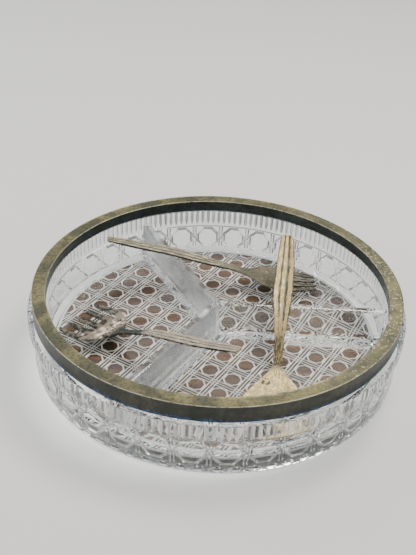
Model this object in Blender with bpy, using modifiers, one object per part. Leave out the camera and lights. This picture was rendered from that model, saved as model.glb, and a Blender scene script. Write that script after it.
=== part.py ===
"""Divided glass relish dish on a low ball-bearing swivel, with a metal rim and three servers."""
import math

import bmesh
import bpy
from mathutils import Vector

for old in list(bpy.data.objects):
    bpy.data.objects.remove(old, do_unlink=True)

MM = 0.001                 # every size below is in millimetres
GAP = 0.3                  # clearance between touching pieces

# glass tray
STAND = 1.5                # glass foot above the table
FOOT_R = 127.0
FOOT_INNER_R = 114.5
RECESS_R = 113.5
RECESS_Z = 9.4
FLOOR_Z = 14.5
FLOOR_R = 114.6
INNER_R_LOW = 117.3
INNER_R_TOP = 118.5
STEP_R = 128.6
STEP_Z = 30.0
RIB_R = 130.3
RIB_Z = 43.5
GLASS_TOP_R = 126.1
GLASS_TOP_Z = 52.2
TRAY_SEGMENTS = 72

# dividers
DIVIDER_TOP_Z = 41.0
DIVIDER_TOP_HALF = 2.6
DIVIDER_LOW_HALF = 4.4
DIVIDER_FLARE_HALF = 6.4
DIVIDER_EDGE = 0.8
DIVIDER_FLARE_Z = 17.2
DIVIDER_SINK = 0.6
DIVIDER_END_R = 121.0
DIVIDER_OVERRUN = 0.5
DIVIDER_COUNT = 3

# metal rim
RIM_R = 127.0
RIM_INNER_R = 117.6
RIM_Z = 56.0
RIM_OUTER_DROP = 12.2
RIM_INNER_DROP = 8.2
RIM_METAL = 0.6

# swivel, heights above the table
DISC_R = 111.6             # the turning disc fills the recess under the glass floor
DISC_Z = 8.7
DISC_TOP_Z = 10.6
DISC_WELL_R = 11.0
DISC_WELL_Z = 9.3
RING_R = 113.0
LOWER_PLATE_R = 76.0
LOWER_PLATE_Z = 3.6
LOWER_PLATE_TOP_Z = 5.2
RACE_R = 60.0
RACE_HALF = 2.2
RACE_DEPTH = 0.6
BALL_R = 2.25
BALL_Z = 6.95
BALL_COUNT = 16
BALL_SEGMENTS = 10
BALL_RINGS = 6
CAGE_HALF = 5.5
CAGE_THICK = 1.0
CAGE_HOLE_R = 2.5
SWIVEL_SEGMENTS = 48
RIVET_R = 3.0
RIVET_HEAD_R = 6.5
RIVET_LOW_Z = 2.6
RIVET_TOP_Z = 10.5
RIVET_HEAD = 0.6
WASHER_R = 8.0
WASHER_Z = 9.45
WASHER_THICK = 0.3
RUBBER_R = 8.0
RUBBER_PCD_R = 66.0
RUBBER_Z = 3.3
SMALL_SEGMENTS = 20
CORNERS = 4

# servers: stations run from the handle end to the tip, (x, y, height over the glass foot, half width)
SERVER_METAL = 1.6
REAR_FORK = ((-84.0, 56.2, 53.4, 3.7), (-60.0, 57.7, 48.6, 5.2), (-35.0, 59.2, 43.4, 5.8),
             (-14.0, 60.5, 37.2, 5.6), (7.0, 61.8, 31.0, 3.9), (20.0, 62.6, 26.6, 4.4),
             (30.0, 63.2, 23.4, 10.6), (38.0, 63.7, 21.2, 14.8), (52.0, 64.6, 18.4, 14.2),
             (75.0, 66.0, 16.2, 10.5))
WIDE_FORK = ((15.4, -77.5, 59.6, 3.9), (-9.0, -59.8, 49.8, 4.9), (-27.3, -46.6, 43.6, 5.1),
             (-44.0, -34.5, 36.9, 3.7), (-52.6, -28.3, 31.7, 2.7), (-64.0, -20.1, 25.3, 3.4),
             (-70.4, -15.4, 22.3, 12.0), (-76.8, -10.8, 20.2, 19.6), (-86.0, -4.1, 18.2, 22.5),
             (-100.0, 6.0, 16.3, 21.0))
SLICE = ((50.8, 73.6, 54.2, 4.8), (48.5, 40.0, 48.6, 6.6), (45.8, 8.0, 43.8, 7.0),
         (44.9, -4.0, 42.8, 6.2), (43.9, -22.6, 32.0, 3.6), (43.2, -35.0, 21.0, 3.2),
         (42.6, -42.0, 17.0, 4.0), (41.2, -68.0, 16.2, 19.4), (40.6, -79.0, 16.2, 23.0),
         (40.0, -90.0, 16.2, 17.6), (39.8, -97.0, 16.2, 7.0))
STEPS_PER_SPAN = 3
REAR_TINES = 4
WIDE_TINES = 5
TINE_SHARE = 1.7           # width of a tine over the width of the slot beside it
REAR_SLOT_X = 51.0         # slots start past here, measured along X
WIDE_SLOT_X = -86.5

part = bpy.data.collections.new("divided_glass_lazy_susan")
cutters = bpy.data.collections.new("cutters")
bpy.context.scene.collection.children.link(part)
bpy.context.scene.collection.children.link(cutters)


def material(name, color, metallic, roughness, transmission=0.0):
    mat = bpy.data.materials.new(name)
    mat.use_nodes = True
    shader = mat.node_tree.nodes["Principled BSDF"]
    shader.inputs["Base Color"].default_value = (*color, 1.0)
    shader.inputs["Metallic"].default_value = metallic
    shader.inputs["Roughness"].default_value = roughness
    shader.inputs["Transmission Weight"].default_value = transmission
    return mat


GLASS = material("clear_pressed_glass", (0.86, 0.88, 0.87), 0.0, 0.06, 0.9)
RIM_METAL_MAT = material("tarnished_silver_rim", (0.33, 0.31, 0.22), 1.0, 0.38)
BEDDING = material("plaster_bedding", (0.72, 0.69, 0.62), 0.0, 0.9)
DISC_BROWN = material("brown_enamelled_steel", (0.17, 0.10, 0.06), 0.0, 0.45)
RING_SILICONE = material("clear_silicone", (0.78, 0.78, 0.75), 0.0, 0.5)
PLATE_STEEL = material("zinc_plated_steel", (0.56, 0.57, 0.58), 1.0, 0.34)
BALL_STEEL = material("ball_steel", (0.72, 0.73, 0.75), 1.0, 0.12)
CAGE_NYLON = material("cage_nylon", (0.80, 0.79, 0.74), 0.0, 0.5)
RIVET_STEEL = material("rivet_steel", (0.48, 0.48, 0.49), 1.0, 0.4)
WASHER_NYLON = material("washer_nylon", (0.12, 0.12, 0.12), 0.0, 0.5)
RUBBER = material("rubber", (0.05, 0.05, 0.05), 0.0, 0.8)
SILVER_OLIVE = material("tarnished_silver_olive", (0.36, 0.34, 0.22), 1.0, 0.45)
SILVER_GREEN = material("tarnished_silver_cream", (0.55, 0.50, 0.38), 1.0, 0.5)
SILVER_CREAM = material("tarnished_silver_pale", (0.62, 0.56, 0.41), 1.0, 0.5)


def add_object(name, mesh, mat, collection=part):
    obj = bpy.data.objects.new(name, mesh)
    collection.objects.link(obj)
    if mat is not None:
        mesh.materials.append(mat)
    if collection is cutters:
        obj.hide_render = True
        obj.display_type = "WIRE"
    return obj


def mesh_from(bm, name):
    bmesh.ops.recalc_face_normals(bm, faces=bm.faces)
    mesh = bpy.data.meshes.new(name)
    bm.to_mesh(mesh)
    bm.free()
    return mesh


def revolve(name, profile, mat, segments, closed=True, lift=0.0):
    """Screw a (radius, height) profile that runs down its outer side; open ones end on the axis."""
    mesh = bpy.data.meshes.new(name)
    verts = [(r * MM, 0.0, (z + lift) * MM) for r, z in profile]
    count = len(verts)
    edges = [(i, (i + 1) % count) for i in range(count if closed else count - 1)]
    mesh.from_pydata(verts, edges, [])
    obj = add_object(name, mesh, mat)
    screw = obj.modifiers.new("turn", "SCREW")
    screw.axis = "Z"
    screw.angle = math.tau
    screw.steps = screw.render_steps = segments
    screw.use_merge_vertices = True
    screw.merge_threshold = 0.00001
    return obj


def boolean(obj, cutter, operation):
    mod = obj.modifiers.new(operation.lower(), "BOOLEAN")
    mod.operation = operation
    mod.solver = "EXACT"
    mod.object = cutter


def cylinder(name, mat, radius, low, high, segments, at=(0.0, 0.0), collection=part):
    bm = bmesh.new()
    bmesh.ops.create_cone(bm, cap_ends=True, segments=segments, radius1=radius * MM,
                          radius2=radius * MM, depth=(high - low) * MM)
    obj = add_object(name, mesh_from(bm, name), mat, collection)
    obj.location = (at[0] * MM, at[1] * MM, (low + high) / 2 * MM)
    return obj


def around(index, count, radius, start=0.0):
    angle = math.tau * index / count + start
    return radius * math.cos(angle), radius * math.sin(angle)


# ---- glass tray: one pressed piece, wall, floor and foot, joined to its three dividers
tray_profile = (
    (GLASS_TOP_R - 0.6, GLASS_TOP_Z), (GLASS_TOP_R, GLASS_TOP_Z - 0.6), (GLASS_TOP_R, RIB_Z),
    (RIB_R, RIB_Z), (RIB_R, RIB_Z - 8.5), (STEP_R + 0.6, STEP_Z + 1.2), (STEP_R, STEP_Z - 1.0),
    (FOOT_R + 0.6, STEP_Z - 3.0), (FOOT_R, 3.4), (FOOT_R - 1.2, 0.9), (FOOT_R - 3.4, 0.0),
    (FOOT_INNER_R + 1.0, 0.0), (FOOT_INNER_R, 1.0), (RECESS_R, RECESS_Z), (0.0, RECESS_Z))
tray_inside = ((0.0, FLOOR_Z), (FLOOR_R, FLOOR_Z), (INNER_R_LOW - 0.7, FLOOR_Z + 0.9),
               (INNER_R_LOW, FLOOR_Z + 3.2), (INNER_R_TOP, RIM_Z - RIM_INNER_DROP),
               (INNER_R_TOP, GLASS_TOP_Z - 0.6), (INNER_R_TOP + 0.6, GLASS_TOP_Z))
tray_loop = tray_inside + tray_profile
glass = revolve("glass_dish", tray_loop, GLASS, TRAY_SEGMENTS, closed=False, lift=STAND)


def section_bar(name, section, start, end):
    """A bar along +X from its (y, z) section."""
    bm = bmesh.new()
    ring = [bm.verts.new((start * MM, y * MM, z * MM)) for y, z in section]
    face = bm.faces.new(ring)
    grown = bmesh.ops.extrude_face_region(bm, geom=[face])
    moved = [v for v in grown["geom"] if isinstance(v, bmesh.types.BMVert)]
    bmesh.ops.translate(bm, verts=moved, vec=((end - start) * MM, 0.0, 0.0))
    return add_object(name, mesh_from(bm, name), None, cutters)


half_section = ((DIVIDER_TOP_HALF - DIVIDER_EDGE, DIVIDER_TOP_Z),
                (DIVIDER_TOP_HALF, DIVIDER_TOP_Z - DIVIDER_EDGE),
                (DIVIDER_LOW_HALF, DIVIDER_FLARE_Z), (DIVIDER_FLARE_HALF, FLOOR_Z),
                (DIVIDER_FLARE_HALF, FLOOR_Z - DIVIDER_SINK))
divider_section = [(y, z + STAND) for y, z in half_section]
divider_section += [(-y, z + STAND) for y, z in reversed(half_section)]
for index in range(DIVIDER_COUNT):
    bar = section_bar(f"divider_{index + 1}", divider_section, -DIVIDER_OVERRUN, DIVIDER_END_R)
    bar.rotation_euler.z = math.tau * index / DIVIDER_COUNT
    boolean(glass, bar, "UNION")

# ---- metal rim: a folded channel over the glass edge, with its bedding inside
rim_profile = (
    (RIM_R - 0.5, RIM_Z), (RIM_R, RIM_Z - 0.5), (RIM_R, RIM_Z - RIM_OUTER_DROP),
    (RIM_R - RIM_METAL, RIM_Z - RIM_OUTER_DROP), (RIM_R - RIM_METAL, RIM_Z - RIM_METAL),
    (RIM_INNER_R + RIM_METAL, RIM_Z - RIM_METAL), (RIM_INNER_R + RIM_METAL, RIM_Z - RIM_INNER_DROP),
    (RIM_INNER_R, RIM_Z - RIM_INNER_DROP), (RIM_INNER_R, RIM_Z - 0.4), (RIM_INNER_R + 0.4, RIM_Z))
revolve("rim_band", rim_profile, RIM_METAL_MAT, TRAY_SEGMENTS, lift=STAND)

bedding_top = RIM_Z - RIM_METAL - GAP
bedding_low = GLASS_TOP_Z + GAP
bedding_profile = ((GLASS_TOP_R, bedding_top), (GLASS_TOP_R, bedding_low),
                   (INNER_R_TOP, bedding_low), (INNER_R_TOP, bedding_top))
revolve("rim_bedding", bedding_profile, BEDDING, TRAY_SEGMENTS, lift=STAND)

# ---- swivel: a turning disc over a fixed plate, caged balls between, a rivet that holds them
bore = RIVET_R + GAP
lower_profile = (
    (LOWER_PLATE_R, LOWER_PLATE_TOP_Z), (LOWER_PLATE_R, LOWER_PLATE_Z), (bore, LOWER_PLATE_Z),
    (bore, LOWER_PLATE_TOP_Z), (RACE_R - RACE_HALF, LOWER_PLATE_TOP_Z),
    (RACE_R - RACE_HALF / 2, LOWER_PLATE_TOP_Z - RACE_DEPTH),
    (RACE_R + RACE_HALF / 2, LOWER_PLATE_TOP_Z - RACE_DEPTH), (RACE_R + RACE_HALF, LOWER_PLATE_TOP_Z))
revolve("swivel_lower_plate", lower_profile, PLATE_STEEL, SWIVEL_SEGMENTS)

disc_profile = (
    (DISC_R, DISC_TOP_Z), (DISC_R, DISC_Z), (RACE_R + RACE_HALF, DISC_Z),
    (RACE_R + RACE_HALF / 2, DISC_Z + RACE_DEPTH), (RACE_R - RACE_HALF / 2, DISC_Z + RACE_DEPTH),
    (RACE_R - RACE_HALF, DISC_Z), (bore, DISC_Z), (bore, DISC_WELL_Z),
    (DISC_WELL_R, DISC_WELL_Z), (DISC_WELL_R, DISC_TOP_Z))
revolve("turntable_disc", disc_profile, DISC_BROWN, TRAY_SEGMENTS)

ring_profile = ((RING_R, DISC_TOP_Z), (RING_R, DISC_Z), (DISC_R + GAP, DISC_Z), (DISC_R + GAP, DISC_TOP_Z))
revolve("grip_ring", ring_profile, RING_SILICONE, TRAY_SEGMENTS)

cage_low = BALL_Z - CAGE_THICK / 2
cage_high = BALL_Z + CAGE_THICK / 2
cage_profile = (
    (RACE_R + CAGE_HALF, cage_high), (RACE_R + CAGE_HALF, cage_low),
    (RACE_R - CAGE_HALF, cage_low), (RACE_R - CAGE_HALF, cage_high))
cage = revolve("ball_cage", cage_profile, CAGE_NYLON, SWIVEL_SEGMENTS)

hole_bm = bmesh.new()
for index in range(BALL_COUNT):
    x, y = around(index, BALL_COUNT, RACE_R)
    hole = bmesh.ops.create_cone(hole_bm, cap_ends=True, segments=BALL_SEGMENTS,
                                 radius1=CAGE_HOLE_R * MM, radius2=CAGE_HOLE_R * MM,
                                 depth=3.0 * CAGE_THICK * MM)
    bmesh.ops.translate(hole_bm, verts=hole["verts"], vec=(x * MM, y * MM, BALL_Z * MM))
boolean(cage, add_object("cage_holes", mesh_from(hole_bm, "cage_holes"), None, cutters), "DIFFERENCE")

for index in range(BALL_COUNT):
    x, y = around(index, BALL_COUNT, RACE_R)
    name = f"bearing_ball_{index + 1:02d}"
    bm = bmesh.new()
    bmesh.ops.create_uvsphere(bm, u_segments=BALL_SEGMENTS, v_segments=BALL_RINGS, radius=BALL_R * MM)
    ball = add_object(name, mesh_from(bm, name), BALL_STEEL)
    ball.location = (x * MM, y * MM, BALL_Z * MM)

rivet_profile = (
    (0.0, RIVET_TOP_Z), (RIVET_HEAD_R - 1.0, RIVET_TOP_Z), (RIVET_HEAD_R, RIVET_TOP_Z - RIVET_HEAD),
    (RIVET_R, RIVET_TOP_Z - RIVET_HEAD), (RIVET_R, RIVET_LOW_Z + RIVET_HEAD),
    (RIVET_HEAD_R, RIVET_LOW_Z + RIVET_HEAD), (RIVET_HEAD_R - 1.0, RIVET_LOW_Z), (0.0, RIVET_LOW_Z))
revolve("centre_rivet", rivet_profile, RIVET_STEEL, SMALL_SEGMENTS, closed=False)

washer_profile = (
    (WASHER_R, WASHER_Z + WASHER_THICK), (WASHER_R, WASHER_Z),
    (bore, WASHER_Z), (bore, WASHER_Z + WASHER_THICK))
revolve("rivet_washer", washer_profile, WASHER_NYLON, SMALL_SEGMENTS)

for index in range(CORNERS):
    place = around(index, CORNERS, RUBBER_PCD_R, math.pi / CORNERS)
    cylinder(f"rubber_foot_{index + 1}", RUBBER, RUBBER_R, 0.0, RUBBER_Z, SMALL_SEGMENTS, place)


# ---- servers: flat sheet blanks bent along their stations
def along(stations, steps):
    """Smooth rows through the stations, each (point, half width)."""
    rows = []
    last = len(stations) - 1
    for span in range(last):
        four = [stations[min(max(span + k, 0), last)] for k in (-1, 0, 1, 2)]
        for step in range(steps):
            t = step / steps
            blend = []
            for a, b, c, d in zip(*four):
                blend.append(0.5 * (2 * b + (c - a) * t + (2 * a - 5 * b + 4 * c - d) * t * t
                                    + (3 * b - a - 3 * c + d) * t ** 3))
            rows.append(blend)
    rows.append(list(stations[last]))
    return rows


def columns(tines):
    """Column edges from -1 to 1, tines and slots in turn."""
    widths = []
    for index in range(2 * tines - 1):
        widths.append(TINE_SHARE if index % 2 == 0 else 1.0)
    total = sum(widths)
    edges = [-1.0]
    for width in widths:
        edges.append(edges[-1] + 2.0 * width / total)
    return edges


def server(name, stations, mat, metal, tines=0, slot=None, handed=1.0):
    rows = along(stations, STEPS_PER_SPAN)
    edges = columns(tines) if tines else [-1.0, -0.4, 0.4, 1.0]
    bm = bmesh.new()
    bmesh.ops.create_grid(bm, x_segments=len(rows) - 1, y_segments=len(edges) - 1, size=1.0)
    grid = sorted(bm.verts, key=lambda v: (round(v.co.x, 4), round(v.co.y, 4)))
    across = len(edges)
    for i, row in enumerate(rows):
        ahead = rows[min(i + 1, len(rows) - 1)]
        behind = rows[max(i - 1, 0)]
        heading = Vector((ahead[0] - behind[0], ahead[1] - behind[1], 0.0)).normalized()
        side = Vector((-heading.y, heading.x, 0.0))
        for j, edge in enumerate(edges):
            point = Vector(row[:3]) + side * (edge * row[3])
            grid[i * across + j].co = (point.x * MM, point.y * MM, (point.z + STAND) * MM)
    if tines:
        slots = []
        for j in range(1, len(edges) - 1, 2):
            for i, row in enumerate(rows[:-1]):
                if handed * (row[0] - slot) >= 0.0:
                    corner = {grid[i * across + j], grid[i * across + j + 1],
                              grid[(i + 1) * across + j], grid[(i + 1) * across + j + 1]}
                    slots += [f for f in bm.faces if set(f.verts) == corner]
        bmesh.ops.delete(bm, geom=slots, context="FACES")
    mesh = mesh_from(bm, name)
    obj = add_object(name, mesh, mat)
    solid = obj.modifiers.new("sheet", "SOLIDIFY")
    solid.thickness = metal * MM
    solid.offset = 0.0
    return obj


server("rear_fork", REAR_FORK, SILVER_OLIVE, SERVER_METAL, REAR_TINES, REAR_SLOT_X)
server("wide_fork", WIDE_FORK, SILVER_GREEN, SERVER_METAL, WIDE_TINES, WIDE_SLOT_X, -1.0)
server("slice_server", SLICE, SILVER_CREAM, SERVER_METAL)
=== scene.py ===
import math

import bmesh
import bpy
from mathutils import Matrix, Vector, noise


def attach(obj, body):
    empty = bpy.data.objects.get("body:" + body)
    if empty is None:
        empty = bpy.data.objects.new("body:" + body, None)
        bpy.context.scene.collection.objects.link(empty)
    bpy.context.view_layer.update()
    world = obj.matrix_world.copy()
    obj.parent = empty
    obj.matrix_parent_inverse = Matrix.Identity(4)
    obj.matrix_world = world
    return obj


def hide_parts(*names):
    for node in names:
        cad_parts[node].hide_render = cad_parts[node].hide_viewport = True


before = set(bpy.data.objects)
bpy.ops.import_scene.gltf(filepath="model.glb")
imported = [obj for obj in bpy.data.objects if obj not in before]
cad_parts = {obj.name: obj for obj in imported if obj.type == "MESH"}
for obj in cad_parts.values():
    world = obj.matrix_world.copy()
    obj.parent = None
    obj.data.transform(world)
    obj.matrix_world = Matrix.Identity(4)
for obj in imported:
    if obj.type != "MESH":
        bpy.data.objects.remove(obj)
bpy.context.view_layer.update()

bl_info = {
    "name": "Divided glass lazy susan",
    "version": (1, 0, 0),
    "blender": (4, 5, 0),
    "location": "3D View > Sidebar > Lazy Susan",
    "description": "Builds a cane-cut glass tray with a tarnished rim, its swivel and three servers",
    "category": "Object",
}

MM = 0.001
STAND = 1.5                # glass foot above the table
FLOOR_UNDER = 9.4          # underside of the glass floor over the foot
FLOOR_TOP = 14.5
WALL_R = 127.3             # outside of the wall where the cane row is cut
RIB_R = 130.3
SOLVER = "MANIFOLD"
NUMBER = "NodeSocketFloat"
COLOR = "NodeSocketColor"
VECTOR = "NodeSocketVector"
PROUD = 0.4                # how far a cutter stands out of the glass
FLAT_FACE = 60.0           # square mm; faces this broad are shaded flat
CANE_MIDDLE = 19.3         # height of the cane row's middle over the foot
CANE_BUTTON = 8.3          # half width of a wall button
STRAP_SHIFT = 0.0022       # spacing of the three grooves of a strap
BALL_COUNT = 16


# ---- property groups ----
def length(name, text, default):
    return bpy.props.FloatProperty(name=name, description=text, default=default, min=0.0,
                                   unit="LENGTH", precision=5)


def color(name, text, default):
    return bpy.props.FloatVectorProperty(name=name, description=text, default=default, size=3,
                                         min=0.0, max=1.0, subtype="COLOR")


class TrayProperties(bpy.types.PropertyGroup):
    rib_count: bpy.props.IntProperty(name="Ribs", description="Ribs round the band under the rim",
                                     default=180, min=12)
    cell_count: bpy.props.IntProperty(name="Wall cells", description="Cane cells round the wall",
                                      default=36, min=6)
    lattice_pitch: length("Floor pitch", "Distance between buttons under the floor", 0.01785)
    lattice_turn: bpy.props.FloatProperty(name="Floor turn", description="Direction of the floor rows",
                                          default=math.radians(60), subtype="ANGLE")
    groove: length("Groove width", "Width of a strap groove", 0.00085)
    groove_depth: length("Groove depth", "Depth of a strap groove", 0.0007)
    button: length("Button", "Half width of a floor button", 0.0057)
    tint: color("Glass tint", "Colour of the glass", (0.90, 0.92, 0.915))


class MetalProperties(bpy.types.PropertyGroup):
    rim_top: color("Rim top", "Tarnish on top of the rim", (0.115, 0.112, 0.066))
    rim_gold: color("Rim patches", "Yellow patches on the rim", (0.31, 0.265, 0.12))
    rim_side: color("Rim side", "Tarnish down the rim's side", (0.036, 0.040, 0.031))
    olive: color("Olive tarnish", "Main colour of the rear fork", (0.155, 0.135, 0.085))
    cream: color("Pale crust", "Main colour of the slice", (0.62, 0.45, 0.19))


class StageProperties(bpy.types.PropertyGroup):
    floor: color("Floor", "Colour of the floor", (0.72, 0.70, 0.67))
    key: bpy.props.FloatProperty(name="Key light", description="Power of the main light",
                                 default=16.0, min=0.0, unit="POWER")
    sky: bpy.props.FloatProperty(name="Sky", description="Strength of the even light",
                                 default=1.0, min=0.0)


# ---- node building ----
def add(tree, kind, inputs=None, **settings):
    """A node with its settings and its inputs, which are values or other nodes' sockets."""
    made = tree.nodes.new(kind)
    for key, value in settings.items():
        setattr(made, key, value)
    for key, value in (inputs or {}).items():
        if isinstance(value, bpy.types.NodeSocket):
            tree.links.new(value, made.inputs[key])
        else:
            made.inputs[key].default_value = value
    return made


def math_node(tree, operation, first, second=0.0):
    return add(tree, "ShaderNodeMath", {0: first, 1: second}, operation=operation).outputs[0]


def noise_node(tree, vector, scale, detail=2.0, roughness=0.5, distortion=0.0):
    return add(tree, "ShaderNodeTexNoise", {"Vector": vector, "Scale": scale, "Detail": detail,
                                            "Roughness": roughness, "Distortion": distortion})


def ramp(tree, value, stops):
    """A tone or a grey level for each place that the stops name."""
    made = add(tree, "ShaderNodeValToRGB", {"Fac": value})
    points = made.color_ramp.elements
    while len(points) < len(stops):
        points.new(0.5)
    for point, (place, level) in zip(points, stops):
        point.position = place
        point.color = (level, level, level, 1.0) if isinstance(level, float) else (*level, 1.0)
    return made.outputs["Color"]


def mix(tree, amount, low, high):
    made = add(tree, "ShaderNodeMix", {0: amount}, data_type="RGBA")
    for socket, value in ((made.inputs[6], low), (made.inputs[7], high)):
        if isinstance(value, bpy.types.NodeSocket):
            tree.links.new(value, socket)
        else:
            socket.default_value = (*value, 1.0)
    return made.outputs[2]


def group(name, inputs, outputs):
    tree = bpy.data.node_groups.new(name, "ShaderNodeTree")
    for label, kind, default in inputs:
        socket = tree.interface.new_socket(name=label, in_out="INPUT", socket_type=kind)
        if default is not None:
            socket.default_value = default
    for label, kind in outputs:
        tree.interface.new_socket(name=label, in_out="OUTPUT", socket_type=kind)
    return tree, tree.nodes.new("NodeGroupInput").outputs, tree.nodes.new("NodeGroupOutput").inputs


def tarnish_group():
    """Patches, specks and streaks of old silver plate; its two mask inputs also lay painted highlights and
    painted shade.
    """
    if "tarnish" in bpy.data.node_groups:
        return bpy.data.node_groups["tarnish"]
    tree, given, result = group(
        "tarnish",
        (("Vector", VECTOR, None), ("Main", COLOR, (0.3, 0.3, 0.2, 1)),
         ("Patch", COLOR, (0.5, 0.5, 0.3, 1)), ("Dark", COLOR, (0.03, 0.03, 0.02, 1)),
         ("Patch scale", NUMBER, 60.0), ("Speck scale", NUMBER, 900.0), ("Patch amount", NUMBER, 0.5),
         ("Speck amount", NUMBER, 0.6), ("Patina and shade", NUMBER, 0.0), ("Light", NUMBER, 0.0),
         ("Bright", COLOR, (0.7, 0.65, 0.5, 1))),
        (("Color", COLOR), ("Roughness", NUMBER), ("Height", NUMBER)))
    broad = noise_node(tree, given["Vector"], given["Patch scale"], 5.0, 0.62, 0.6)
    patch = math_node(tree, "MULTIPLY", ramp(tree, broad.outputs["Fac"], ((0.42, 0.0), (0.62, 1.0))),
                      given["Patch amount"])
    fine = noise_node(tree, given["Vector"], given["Speck scale"], 4.0, 0.7)
    speck = math_node(tree, "MULTIPLY", ramp(tree, fine.outputs["Fac"], ((0.45, 0.0), (0.68, 1.0))),
                      given["Speck amount"])
    tone = mix(tree, patch, given["Main"], given["Patch"])
    tone = mix(tree, speck, tone, given["Dark"])
    # Light lifts the tone towards Bright, for wear and painted highlights; the other mask lowers it towards
    # Dark, for patina and painted shade.
    ragged = math_node(tree, "SUBTRACT", fine.outputs["Fac"], 0.5)
    light = math_node(tree, "ADD", given["Light"], math_node(tree, "MULTIPLY", ragged, 3.2))
    tone = mix(tree, ramp(tree, light, ((0.55, 0.0), (0.8, 1.0))), tone, given["Bright"])
    dim = math_node(tree, "SUBTRACT", given["Patina and shade"], math_node(tree, "MULTIPLY", ragged, 3.2))
    tone = mix(tree, ramp(tree, dim, ((0.55, 0.0), (0.8, 1.0))), tone, given["Dark"])
    tree.links.new(tone, result["Color"])
    rough = math_node(tree, "MULTIPLY_ADD", speck, 0.25)
    rough.node.inputs[2].default_value = 0.36
    tree.links.new(rough, result["Roughness"])
    height = math_node(tree, "ADD", fine.outputs["Fac"], broad.outputs["Fac"])
    tree.links.new(height, result["Height"])
    return tree


def haze_group():
    """Thin film and fine waves on pressed glass."""
    if "haze" in bpy.data.node_groups:
        return bpy.data.node_groups["haze"]
    tree, given, result = group(
        "haze", (("Vector", VECTOR, None), ("Low", NUMBER, 0.02), ("High", NUMBER, 0.12),
                 ("Scale", NUMBER, 90.0)),
        (("Roughness", NUMBER), ("Height", NUMBER)))
    film = noise_node(tree, given["Vector"], given["Scale"], 4.0, 0.6)
    spread = add(tree, "ShaderNodeMapRange", {"Value": film.outputs["Fac"], "From Min": 0.35,
                                              "From Max": 0.7, "To Min": given["Low"],
                                              "To Max": given["High"]})
    tree.links.new(spread.outputs[0], result["Roughness"])
    tree.links.new(film.outputs["Fac"], result["Height"])
    return tree


def new_material(name, metallic=0.0, roughness=0.5, base=(0.5, 0.5, 0.5)):
    made = bpy.data.materials.new(name)
    made.use_nodes = True
    shader = made.node_tree.nodes["Principled BSDF"]
    shader.inputs["Metallic"].default_value = metallic
    shader.inputs["Roughness"].default_value = roughness
    shader.inputs["Base Color"].default_value = (*base, 1.0)
    return made, made.node_tree, shader


def object_vector(tree):
    return add(tree, "ShaderNodeTexCoord").outputs["Object"]


def bump(tree, shader, height, strength, distance=0.0003):
    made = add(tree, "ShaderNodeBump", {"Height": height, "Strength": strength, "Distance": distance})
    tree.links.new(made.outputs["Normal"], shader.inputs["Normal"])


def speckled(name, metallic, roughness, low, high, scale, relief, detail=5.0, grain_roughness=0.5,
             span=None, stretch=None):
    """A plain finish between two tones of one grain; a span sharpens the change between them."""
    made, tree, shader = new_material(name, metallic, roughness, high)
    vector = object_vector(tree)
    if stretch:
        vector = add(tree, "ShaderNodeMapping", {"Vector": vector, "Scale": stretch}).outputs[0]
    grain = noise_node(tree, vector, scale, detail, grain_roughness).outputs["Fac"]
    amount = ramp(tree, grain, ((span[0], 0.0), (span[1], 1.0))) if span else grain
    tree.links.new(mix(tree, amount, low, high), shader.inputs["Base Color"])
    bump(tree, shader, grain, relief)
    return made


def tarnished(name, main, patch, dark, metallic, patch_scale=60.0, speck_scale=900.0,
              patch_amount=0.8, speck_amount=0.5, relief=0.5, bright=(0.7, 0.65, 0.5), streak=None):
    """Old silver plate; one attribute darkens it with patina in its grooves and with painted shade, and
    another lightens it with wear and with painted highlights.

    With a streak, the patches run along the piece instead of lying on it evenly.
    """
    made, tree, shader = new_material(name, metallic)
    vector = object_vector(tree)
    if streak:
        trace = add(tree, "ShaderNodeAttribute", attribute_name="trace").outputs["Vector"]
        vector = add(tree, "ShaderNodeMapping", {"Vector": trace, "Scale": streak}).outputs[0]
    skin = add(tree, "ShaderNodeGroup", node_tree=tarnish_group())
    tree.links.new(vector, skin.inputs["Vector"])
    for key, attribute in (("Patina and shade", "patina_and_shade"), ("Light", "wear_and_highlight")):
        mask = add(tree, "ShaderNodeAttribute", attribute_name=attribute).outputs["Fac"]
        tree.links.new(mask, skin.inputs[key])
    for key, value in (("Main", main), ("Patch", patch), ("Dark", dark), ("Bright", bright)):
        skin.inputs[key].default_value = (*value, 1.0)
    for key, value in (("Patch scale", patch_scale), ("Speck scale", speck_scale),
                       ("Patch amount", patch_amount), ("Speck amount", speck_amount)):
        skin.inputs[key].default_value = value
    tree.links.new(skin.outputs["Color"], shader.inputs["Base Color"])
    tree.links.new(skin.outputs["Roughness"], shader.inputs["Roughness"])
    bump(tree, shader, skin.outputs["Height"], relief)
    return made


def glass_material(name, low, high, tint, relief=0.05, clearness=1.0, film_scale=90.0):
    """Pressed glass; light passes through it to what lies below."""
    made, tree, shader = new_material(name, 0.0, low, tint)
    shader.inputs["Transmission Weight"].default_value = clearness
    shader.inputs["IOR"].default_value = 1.5
    film = add(tree, "ShaderNodeGroup", node_tree=haze_group())
    tree.links.new(object_vector(tree), film.inputs["Vector"])
    film.inputs["Low"].default_value = low
    film.inputs["High"].default_value = high
    film.inputs["Scale"].default_value = film_scale
    tree.links.new(film.outputs["Roughness"], shader.inputs["Roughness"])
    bump(tree, shader, film.outputs["Height"], relief)
    clear = add(tree, "ShaderNodeBsdfTransparent", {"Color": (*tint, 1.0)})
    path = add(tree, "ShaderNodeLightPath")
    blend = add(tree, "ShaderNodeMixShader", {0: path.outputs["Is Shadow Ray"],
                                              1: shader.outputs[0], 2: clear.outputs[0]})
    tree.links.new(blend.outputs[0], tree.nodes["Material Output"].inputs["Surface"])
    return made


# ---- mesh building ----
def place(name, mesh, materials=()):
    made = bpy.data.objects.new(name, mesh)
    bpy.context.scene.collection.objects.link(made)
    for item in materials:
        mesh.materials.append(item)
    return made


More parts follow.
